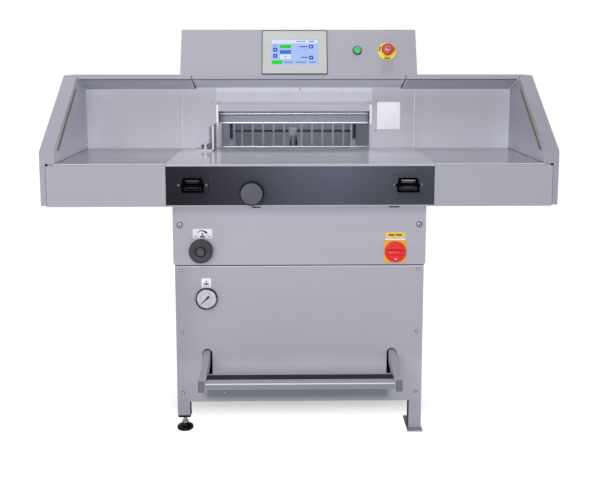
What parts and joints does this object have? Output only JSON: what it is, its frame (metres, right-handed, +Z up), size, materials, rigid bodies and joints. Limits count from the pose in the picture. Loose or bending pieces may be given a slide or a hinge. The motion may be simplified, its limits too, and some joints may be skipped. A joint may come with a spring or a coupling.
{
  "type": "hydraulic paper cutter",
  "caption": "Free-standing hydraulic guillotine for paper stacks, with winged side tables, a hooded head with a display, a clamp pedal and a clear rear guard.",
  "frame": {"origin": "on the floor, under the middle of the machine's overall width and depth", "axes": "+X to the operator's right, +Y from the operator to the rear, +Z up"},
  "size_m": [1.516, 1.128, 1.288],
  "materials": {
    "paint_grey": "satin light grey paint",
    "paint_dark": "satin anthracite paint",
    "table_face": "polished light grey",
    "bright_steel": "ground steel",
    "cast_grey": "painted casting",
    "zinc": "zinc plated",
    "tread_aluminium": "anodised",
    "rubber_black": "ribbed rubber",
    "plastic_black": "black plastic",
    "plastic_dark": "dark grey plastic",
    "plastic_red": "red plastic",
    "plastic_yellow": "yellow plastic",
    "plastic_green": "green plastic",
    "display_grey": "warm grey plastic",
    "screen": "lit touch screen",
    "stick_white": "white plastic",
    "clear_guard": "clear polycarbonate",
    "white_dial": "white dial",
    "curtain_amber": "dark amber window"
  },
  "bodies": {
    "machine": {"stand_left": "paint_grey", "stand_right": "paint_grey", "leg_caps": "plastic_black", "front_lower_cover": "paint_grey", "front_upper_cover": "paint_grey", "side_covers": "paint_grey", "rear_cover": "paint_grey", "drip_tray": "zinc", "power_inlet": "plastic_black", "main_table": "table_face", "side_table_left": "paint_grey", "side_table_right": "paint_grey", "front_apron": "paint_grey", "fascia_panel": "paint_dark", "wing_left": "paint_grey", "wing_right": "paint_grey", "light_curtains": "curtain_amber", "wall_panels": "paint_grey", "knife_cover": "paint_grey", "hood_panels": "paint_grey", "head_cover": "paint_grey", "cutting_frame": "cast_grey", "side_guides": "bright_steel", "hydraulic_cylinders": "cast_grey", "oil_tank": "paint_grey", "pump_motor": "cast_grey", "valve_block": "zinc", "gauge_motor": "plastic_black", "pressure_gauge": "white_dial", "switch_plate": "plastic_yellow", "button_shrouds": "plastic_black", "display_bezel": "display_grey", "display_screen": "screen", "start_bezel": "plastic_dark", "estop_plate": "plastic_yellow", "cover_screws": "zinc", "side_stop": "paint_grey"},
    "foot_front": {"levelling_foot_front": "plastic_black"},
    "foot_rear": {"levelling_foot_rear": "plastic_black"},
    "stick": {"cutting_stick": "stick_white"},
    "clamp": {"clamp_beam": "bright_steel", "clamp_rods": "bright_steel"},
    "knife": {"knife_carrier": "cast_grey", "knife_blade": "bright_steel", "knife_piston_rod": "bright_steel"},
    "gauge": {"back_gauge": "tread_aluminium", "gauge_carriage": "zinc"},
    "leadscrew": {"gauge_leadscrew": "bright_steel"},
    "rear_guard": {"rear_table_cover": "clear_guard"},
    "pedal": {"pedal_frame": "paint_grey", "pedal_tread": "tread_aluminium", "pedal_rubber": "rubber_black"},
    "pressure_knob": {"pressure_knob": "plastic_dark"},
    "needle": {"gauge_needle": "plastic_black"},
    "main_switch": {"switch_knob": "plastic_red"},
    "hand_left": {"hand_button_left": "plastic_black"},
    "hand_right": {"hand_button_right": "plastic_black"},
    "dial": {"fine_dial": "plastic_dark"},
    "start": {"start_button": "plastic_green"},
    "estop": {"estop_button": "plastic_red"}
  },
  "joints": [
    {"name": "foot_front_screw", "type": "slide", "parent": "machine", "child": "foot_front", "axis": [0, 0, -1], "range_m": [-0.008, 0.015]},
    {"name": "foot_rear_screw", "type": "slide", "parent": "machine", "child": "foot_rear", "axis": [0, 0, -1], "range_m": [-0.008, 0.015]},
    {"name": "stick_slide", "type": "slide", "parent": "machine", "child": "stick", "axis": [1, 0, 0], "range_m": [0, 0.3]},
    {"name": "clamp_slide", "type": "slide", "parent": "machine", "child": "clamp", "axis": [0, 0, -1], "range_m": [0, 0.0755]},
    {"name": "knife_slide", "type": "slide", "parent": "machine", "child": "knife", "axis": [-0.2588, 0, -0.9659], "range_m": [0, 0.121]},
    {"name": "gauge_slide", "type": "slide", "parent": "machine", "child": "gauge", "axis": [0, -1, 0], "range_m": [0, 0.468]},
    {"name": "leadscrew_spin", "type": "hinge", "parent": "machine", "child": "leadscrew", "pos_m": [-0.016, -0.06, 0.868], "axis": [0, 1, 0], "range_deg": [0, 8424]},
    {"name": "rear_guard_hinge", "type": "hinge", "parent": "machine", "child": "rear_guard", "pos_m": [0, 0.169, 1.0455], "axis": [1, 0, 0], "range_deg": [0, 70]},
    {"name": "pedal_pivot", "type": "hinge", "parent": "machine", "child": "pedal", "pos_m": [0, -0.276, 0.27203], "axis": [1, 0, 0], "range_deg": [0, 12], "stiffness_Nm_per_rad": 60, "springref_deg": -22.92},
    {"name": "pressure_turn", "type": "hinge", "parent": "machine", "child": "pressure_knob", "pos_m": [-0.308, -0.396, 0.5995], "axis": [0, 1, 0], "range_deg": [-135, 135]},
    {"name": "needle_turn", "type": "hinge", "parent": "machine", "child": "needle", "pos_m": [-0.2945, -0.393, 0.441], "axis": [0, 1, 0], "range_deg": [0, 270]},
    {"name": "switch_turn", "type": "hinge", "parent": "machine", "child": "main_switch", "pos_m": [0.2995, -0.399, 0.594], "axis": [0, 1, 0], "range_deg": [0, 90]},
    {"name": "hand_left_press", "type": "slide", "parent": "machine", "child": "hand_left", "axis": [0, 1, 0], "range_m": [0, 0.005], "stiffness_N_per_m": 400, "springref_m": -0.004},
    {"name": "hand_right_press", "type": "slide", "parent": "machine", "child": "hand_right", "axis": [0, 1, 0], "range_m": [0, 0.005], "stiffness_N_per_m": 400, "springref_m": -0.004},
    {"name": "dial_turn", "type": "hinge", "parent": "machine", "child": "dial", "pos_m": [-0.142, -0.546, 0.8065], "axis": [0, 1, 0], "continuous": true},
    {"name": "start_press", "type": "slide", "parent": "machine", "child": "start", "axis": [0, 0.9285, -0.3714], "range_m": [0, 0.002], "stiffness_N_per_m": 400, "springref_m": -0.004},
    {"name": "estop_press", "type": "slide", "parent": "machine", "child": "estop", "axis": [0, 0.9285, -0.3714], "range_m": [0, 0.006], "stiffness_N_per_m": 800, "springref_m": -0.004}
  ],
  "couplings": [
    {"joint": "leadscrew_spin", "follows": "gauge_slide", "rad_per_m": 314.16}
  ]
}
